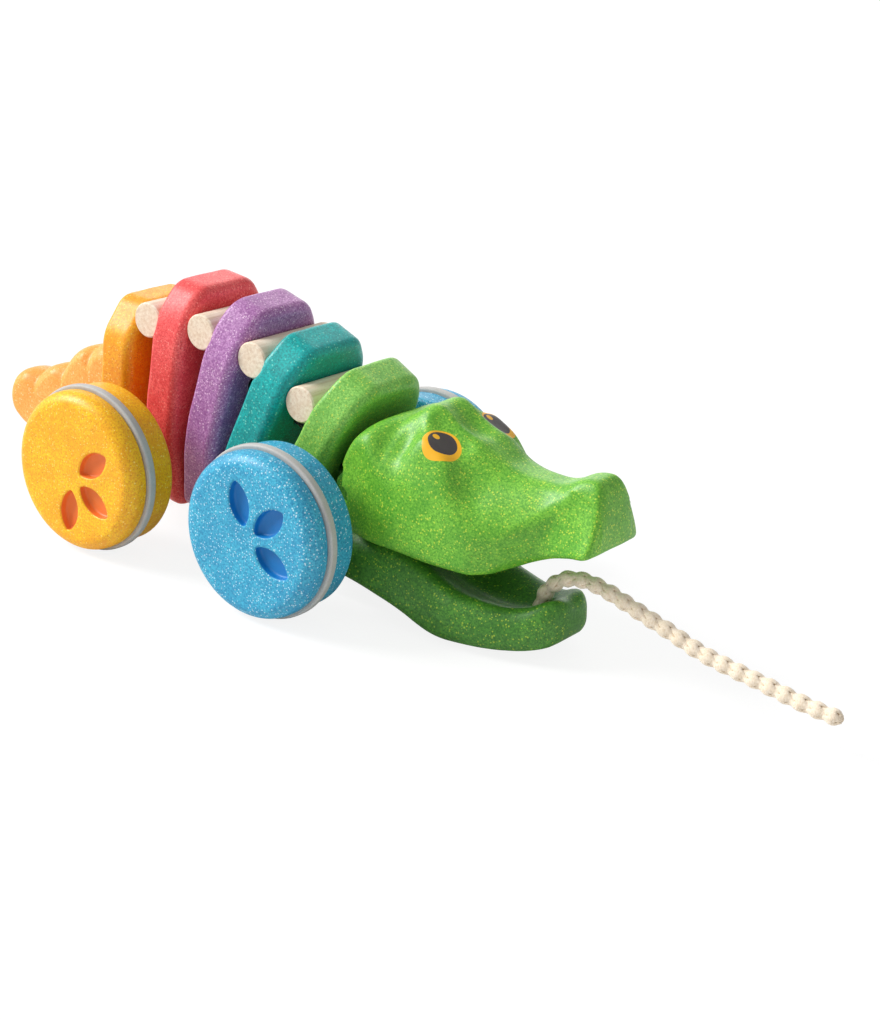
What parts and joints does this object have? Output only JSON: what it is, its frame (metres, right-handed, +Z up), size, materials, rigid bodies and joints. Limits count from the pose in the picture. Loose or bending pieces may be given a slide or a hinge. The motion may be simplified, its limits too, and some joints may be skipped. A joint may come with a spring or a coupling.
{
  "type": "pull-along toy",
  "caption": "Wooden pull-along crocodile: upright body plates on cross dowels, disc wheels with rubber bands, hinged head over a lower jaw, tail block and a pull cord.",
  "frame": {"origin": "on the floor, below the middle of the overall length and width", "axes": "+X from tail to nose, +Y to the toy's left, +Z up"},
  "size_m": [0.3365, 0.1064, 0.0889],
  "materials": {
    "orange_wood": "satin stain with fine flecks",
    "light_orange_wood": "satin stain",
    "red_wood": "satin stain with fine flecks",
    "purple_wood": "satin stain with light flecks",
    "teal_wood": "satin stain with fine flecks",
    "green_wood": "satin stain with yellow flecks",
    "head_green_wood": "satin stain with yellow flecks, painted eyes",
    "jaw_green_wood": "satin stain with yellow flecks",
    "yellow_wood": "satin stain with fine flecks",
    "blue_wood": "satin stain with pale flecks",
    "grey_rubber": "matt",
    "plain_wood": "bare sanded wood",
    "steel": "plain drawn steel",
    "sleeve_plastic": "matt",
    "elastic_cord": "woven cover",
    "cotton_cord": "braided cotton"
  },
  "bodies": {
    "front_block": {"lower_jaw": "jaw_green_wood", "plate_neck": "green_wood", "neck_pegs": "plain_wood", "neck_stop": "plain_wood", "head_pin": "steel", "dowel_4": "plain_wood"},
    "head": {"head": "head_green_wood"},
    "front_wheelset": {"front_axle": "steel", "front_axle_sleeves": "sleeve_plastic", "wheel_front_right": "blue_wood", "wheel_front_left": "blue_wood", "tyre_front_right": "grey_rubber", "tyre_front_left": "grey_rubber"},
    "teal_section": {"plate_teal": "teal_wood", "dowel_3": "plain_wood", "elastic_link_4": "elastic_cord"},
    "purple_section": {"plate_purple": "purple_wood", "dowel_2": "plain_wood", "elastic_link_3": "elastic_cord"},
    "red_section": {"plate_red": "red_wood", "dowel_1": "plain_wood", "elastic_link_2": "elastic_cord"},
    "rear_block": {"plate_orange": "orange_wood", "tail": "light_orange_wood", "tail_pegs": "plain_wood", "rear_axle_block": "plain_wood", "elastic_link_1": "elastic_cord"},
    "rear_wheelset": {"rear_axle": "steel", "rear_axle_sleeves": "sleeve_plastic", "wheel_rear_right": "yellow_wood", "wheel_rear_left": "yellow_wood", "tyre_rear_right": "grey_rubber", "tyre_rear_left": "grey_rubber"},
    "knot": {"cord_knot": "cotton_cord"},
    "cord": {"pull_cord": "cotton_cord"}
  },
  "joints": [
    {"name": "front_axle_spin", "type": "hinge", "parent": "front_block", "child": "front_wheelset", "pos_m": [-0.01223, 0, 0.02825], "axis": [0, 1, 0], "continuous": true},
    {"name": "rear_axle_spin", "type": "hinge", "parent": "rear_block", "child": "rear_wheelset", "pos_m": [-0.08873, 0, 0.02825], "axis": [0, 1, 0], "continuous": true},
    {"name": "head_nod", "type": "hinge", "parent": "front_block", "child": "head", "pos_m": [-0.00013, 0, 0.038], "axis": [0, -1, 0], "range_deg": [0, 9]},
    {"name": "rock_4", "type": "hinge", "parent": "front_block", "child": "teal_section", "pos_m": [-0.02193, 0, 0.062], "axis": [0, 1, 0], "range_deg": [0, 6], "stiffness_Nm_per_rad": 0.6, "springref_deg": -28.65, "deforming": ["elastic_link_4"]},
    {"name": "rock_3", "type": "hinge", "parent": "teal_section", "child": "purple_section", "pos_m": [-0.04313, 0, 0.0716], "axis": [0, 1, 0], "range_deg": [0, 6], "stiffness_Nm_per_rad": 0.6, "springref_deg": -28.65, "deforming": ["elastic_link_3"]},
    {"name": "rock_2", "type": "hinge", "parent": "purple_section", "child": "red_section", "pos_m": [-0.06563, 0, 0.0757], "axis": [0, 1, 0], "range_deg": [0, 6], "stiffness_Nm_per_rad": 0.6, "springref_deg": -28.65, "deforming": ["elastic_link_2"]},
    {"name": "rock_1", "type": "hinge", "parent": "red_section", "child": "rear_block", "pos_m": [-0.08943, 0, 0.0743], "axis": [0, 1, 0], "range_deg": [0, 6], "stiffness_Nm_per_rad": 0.6, "springref_deg": -28.65, "deforming": ["elastic_link_1"]},
    {"name": "cord_swivel", "type": "hinge", "parent": "front_block", "child": "knot", "pos_m": [0.06387, 0, 0.006], "axis": [0, 0, 1], "range_deg": [-35, 35]},
    {"name": "cord_lift", "type": "hinge", "parent": "knot", "child": "cord", "pos_m": [0.06387, 0, 0.0156], "axis": [0, -1, 0], "range_deg": [-4, 20]}
  ]
}
